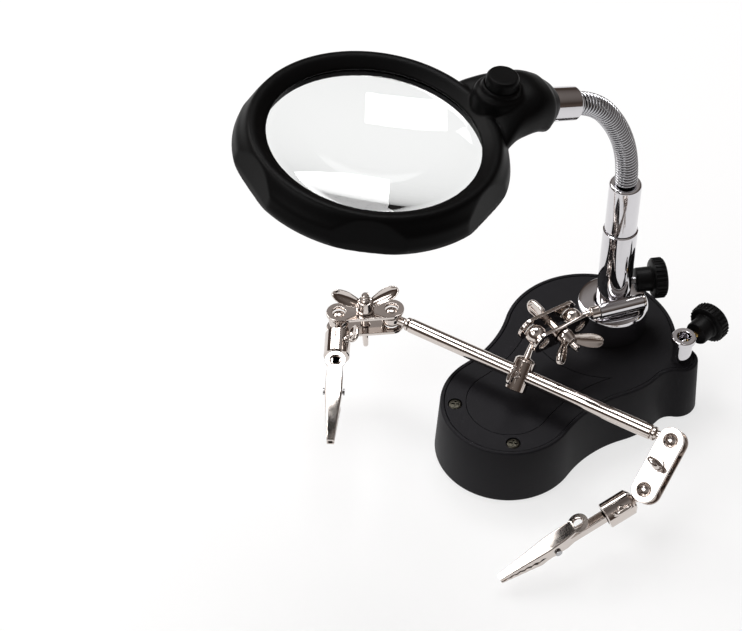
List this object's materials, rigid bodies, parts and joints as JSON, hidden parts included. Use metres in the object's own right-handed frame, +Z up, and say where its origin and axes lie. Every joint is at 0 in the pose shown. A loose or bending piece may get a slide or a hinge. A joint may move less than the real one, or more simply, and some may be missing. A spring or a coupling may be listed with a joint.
{
  "type": "helping-hands soldering stand",
  "caption": "Bench stand with a weighted battery base, a lit round magnifier on a gooseneck, an iron socket, and a cross rod carrying alligator clips on double-ball clamps.",
  "frame": {"origin": "on the table under the base, midway between the centres of the base's two round lobes", "axes": "+Z up, -Y towards the front lobe, +Y towards the rear lobe that carries the post, +X towards the ear with the iron socket"},
  "size_m": [0.1711, 0.1983, 0.2021],
  "materials": {
    "rubber_pad": "matt foot pad",
    "charcoal_shell": "finely textured charcoal",
    "steel": "zinc-plated",
    "cell_sleeve": "plain sleeve",
    "ballast_iron": "raw casting",
    "bright_chrome": "bright chrome",
    "black_plastic": "satin black",
    "brass": "bright brass",
    "lens_glass": "clear polished",
    "lamp_lens": "clear lamp",
    "nickel_plate": "bright nickel plate"
  },
  "bodies": {
    "base": {"foot_pad": "rubber_pad", "base_shell": "charcoal_shell", "base_top_plate": "charcoal_shell", "plate_screw_1": "steel", "plate_screw_2": "steel", "battery_1": "cell_sleeve", "battery_2": "cell_sleeve", "battery_3": "cell_sleeve", "battery_contact_front": "nickel_plate", "battery_contact_rear": "nickel_plate", "ballast_weight": "ballast_iron", "post_collar": "bright_chrome", "post_tube": "bright_chrome", "post_nut": "steel", "iron_socket": "bright_chrome"},
    "lid": {"battery_lid": "charcoal_shell"},
    "lock_screw": {"post_lock_screw": "steel"},
    "lock_knob": {"post_lock_knob": "black_plastic"},
    "socket_lock_screw": {"socket_screw": "brass"},
    "socket_lock_knob": {"socket_knob": "black_plastic"},
    "neck": {"neck_ferrule": "bright_chrome", "gooseneck": "bright_chrome", "gooseneck_core": "black_plastic"},
    "head": {"head_ferrule": "bright_chrome", "head_frame": "black_plastic", "lens": "lens_glass", "lens_retainer": "black_plastic", "switch_body": "steel", "led_lamp": "lamp_lens"},
    "button": {"switch_button": "black_plastic"},
    "stub": {"arm_stub": "nickel_plate"},
    "centre_clamp": {"centre_plate_upper": "nickel_plate", "centre_plate_lower": "nickel_plate", "centre_clamp_screw": "nickel_plate"},
    "centre_nut": {"centre_wing_nut": "nickel_plate"},
    "holder": {"rod_holder": "nickel_plate"},
    "holder_screw": {"rod_thumbscrew": "nickel_plate"},
    "rod": {"cross_rod": "nickel_plate"},
    "left_ball": {"left_rod_ball": "nickel_plate"},
    "left_clamp": {"left_plate_upper": "nickel_plate", "left_plate_lower": "nickel_plate", "left_clamp_screw": "nickel_plate"},
    "left_nut": {"left_wing_nut": "nickel_plate"},
    "left_holder": {"left_clip_holder": "nickel_plate"},
    "left_holder_screw": {"left_clip_thumbscrew": "nickel_plate"},
    "left_clip": {"left_fixed_jaw": "nickel_plate", "left_pivot_pin": "steel", "left_clip_spring": "steel"},
    "left_jaw": {"left_moving_jaw": "nickel_plate"},
    "right_ball": {"right_rod_ball": "nickel_plate"},
    "right_clamp": {"right_plate_upper": "nickel_plate", "right_plate_lower": "nickel_plate", "right_clamp_screw": "nickel_plate"},
    "right_nut": {"right_wing_nut": "nickel_plate"},
    "right_holder": {"right_clip_holder": "nickel_plate"},
    "right_holder_screw": {"right_clip_thumbscrew": "nickel_plate"},
    "right_clip": {"right_fixed_jaw": "nickel_plate", "right_pivot_pin": "steel", "right_clip_spring": "steel"},
    "right_jaw": {"right_moving_jaw": "nickel_plate"}
  },
  "joints": [
    {"name": "lid_lift", "type": "slide", "parent": "base", "child": "lid", "axis": [0, 0, 1], "range_m": [0, 0.004]},
    {"name": "post_lock_slide", "type": "slide", "parent": "base", "child": "lock_screw", "axis": [0.6225, 0.7826, 0], "range_m": [0, 0.0008]},
    {"name": "post_lock", "type": "hinge", "parent": "lock_screw", "child": "lock_knob", "pos_m": [0.00813, 0.0468, 0.0566], "axis": [0.6225, 0.7826, 0], "range_deg": [0, 360]},
    {"name": "socket_lock_slide", "type": "slide", "parent": "base", "child": "socket_lock_screw", "axis": [0, 1, 0], "range_m": [0, 0.0008]},
    {"name": "socket_lock", "type": "hinge", "parent": "socket_lock_screw", "child": "socket_lock_knob", "pos_m": [0.0391, 0.0535, 0.0387], "axis": [0, 1, 0], "range_deg": [0, 360]},
    {"name": "neck_swivel", "type": "hinge", "parent": "base", "child": "neck", "pos_m": [0.0024, 0.0396, 0.0903], "axis": [0, 0, 1], "range_deg": [-120, 120]},
    {"name": "gooseneck_bend", "type": "hinge", "parent": "neck", "child": "head", "pos_m": [-0.00073, 0.03052, 0.14768], "axis": [-0.9455, 0.3256, 0], "range_deg": [-20, 25], "deforming": ["gooseneck", "gooseneck_core"]},
    {"name": "switch_press", "type": "slide", "parent": "head", "child": "button", "axis": [-0.0869, -0.1025, -0.9909], "range_m": [0, 0.0014], "stiffness_N_per_m": 400, "springref_m": -0.001},
    {"name": "stub_spin", "type": "hinge", "parent": "base", "child": "stub", "pos_m": [0.00613, 0.02463, 0.052], "axis": [-0.4756, -0.8796, 0], "range_deg": [0, 20]},
    {"name": "centre_swing_a", "type": "hinge", "parent": "stub", "child": "centre_clamp", "pos_m": [-0.00006, 0.01319, 0.052], "axis": [0.9841, -0.115, -0.1354], "range_deg": [-20, 0]},
    {"name": "centre_wing_nut_turn", "type": "hinge", "parent": "centre_clamp", "child": "centre_nut", "pos_m": [-0.00101, 0.00185, 0.05471], "axis": [0.9841, -0.115, -0.1354], "range_deg": [-45, 45]},
    {"name": "centre_swing_b", "type": "hinge", "parent": "centre_clamp", "child": "holder", "pos_m": [-0.00196, -0.00949, 0.05742], "axis": [0.9841, -0.115, -0.1354], "range_deg": [-20, 0]},
    {"name": "rod_thumbscrew_turn", "type": "hinge", "parent": "holder", "child": "holder_screw", "pos_m": [0.00035, -0.02134, 0.04354], "axis": [0.1447, -0.7407, 0.6561], "range_deg": [-90, 90]},
    {"name": "rod_slide", "type": "slide", "parent": "holder", "child": "rod", "axis": [0.9815, 0.1917, 0], "range_m": [-0.012, 0.012]},
    {"name": "left_ball_spin", "type": "hinge", "parent": "rod", "child": "left_ball", "pos_m": [-0.05451, -0.03206, 0.04354], "axis": [-0.9815, -0.1917, 0], "range_deg": [-25, 30]},
    {"name": "left_swing_inner", "type": "hinge", "parent": "left_ball", "child": "left_clamp", "pos_m": [-0.06413, -0.03393, 0.04354], "axis": [0, 0, 1], "range_deg": [-30, 30]},
    {"name": "left_wing_nut_turn", "type": "hinge", "parent": "left_clamp", "child": "left_nut", "pos_m": [-0.07189, -0.04269, 0.04354], "axis": [0, 0, 1], "range_deg": [-45, 45]},
    {"name": "left_swing_outer", "type": "hinge", "parent": "left_clamp", "child": "left_holder", "pos_m": [-0.07965, -0.05144, 0.04354], "axis": [0, 0, 1], "range_deg": [-30, 20]},
    {"name": "left_thumbscrew_turn", "type": "hinge", "parent": "left_holder", "child": "left_holder_screw", "pos_m": [-0.07063, -0.06208, 0.04232], "axis": [0.5429, 0.3742, 0.7518], "range_deg": [-90, 90]},
    {"name": "left_clip_spin", "type": "hinge", "parent": "left_holder", "child": "left_clip", "pos_m": [-0.06638, -0.0671, 0.04174], "axis": [0.6443, -0.7598, -0.0872], "range_deg": [-30, 30]},
    {"name": "left_jaw_open", "type": "hinge", "parent": "left_clip", "child": "left_jaw", "pos_m": [-0.05342, -0.08237, 0.04119], "axis": [-0.7627, -0.6468, 0], "range_deg": [0, 12], "stiffness_Nm_per_rad": 0.08, "springref_deg": -20.05, "deforming": ["left_clip_spring"]},
    {"name": "right_ball_spin", "type": "hinge", "parent": "rod", "child": "right_ball", "pos_m": [0.06277, -0.00915, 0.04354], "axis": [0.9815, 0.1917, 0], "range_deg": [-30, 0]},
    {"name": "right_swing_inner", "type": "hinge", "parent": "right_ball", "child": "right_clamp", "pos_m": [0.07239, -0.00727, 0.04354], "axis": [0.1183, -0.6056, 0.7869], "range_deg": [-20, 5]},
    {"name": "right_wing_nut_turn", "type": "hinge", "parent": "right_clamp", "child": "right_nut", "pos_m": [0.07331, -0.01645, 0.03634], "axis": [-0.1183, 0.6056, -0.7869], "range_deg": [-45, 45]},
    {"name": "right_swing_outer", "type": "hinge", "parent": "right_clamp", "child": "right_holder", "pos_m": [0.07423, -0.02562, 0.02914], "axis": [0.1183, -0.6056, 0.7869], "range_deg": [-30, 5]},
    {"name": "right_thumbscrew_turn", "type": "hinge", "parent": "right_holder", "child": "right_holder_screw", "pos_m": [0.06931, -0.03792, 0.02458], "axis": [0.5042, -0.4703, 0.7243], "range_deg": [-90, 90]},
    {"name": "right_clip_spin", "type": "hinge", "parent": "right_holder", "child": "right_clip", "pos_m": [0.067, -0.04371, 0.02243], "axis": [-0.3511, -0.8779, -0.3256], "range_deg": [-30, 30]},
    {"name": "right_jaw_open", "type": "hinge", "parent": "right_clip", "child": "right_jaw", "pos_m": [0.05811, -0.06593, 0.01546], "axis": [-0.9285, 0.3714, 0], "range_deg": [0, 12], "stiffness_Nm_per_rad": 0.08, "springref_deg": -20.05, "deforming": ["right_clip_spring"]}
  ],
  "couplings": [
    {"joint": "post_lock", "follows": "post_lock_slide", "rad_per_m": 7854},
    {"joint": "socket_lock", "follows": "socket_lock_slide", "rad_per_m": 7854}
  ]
}
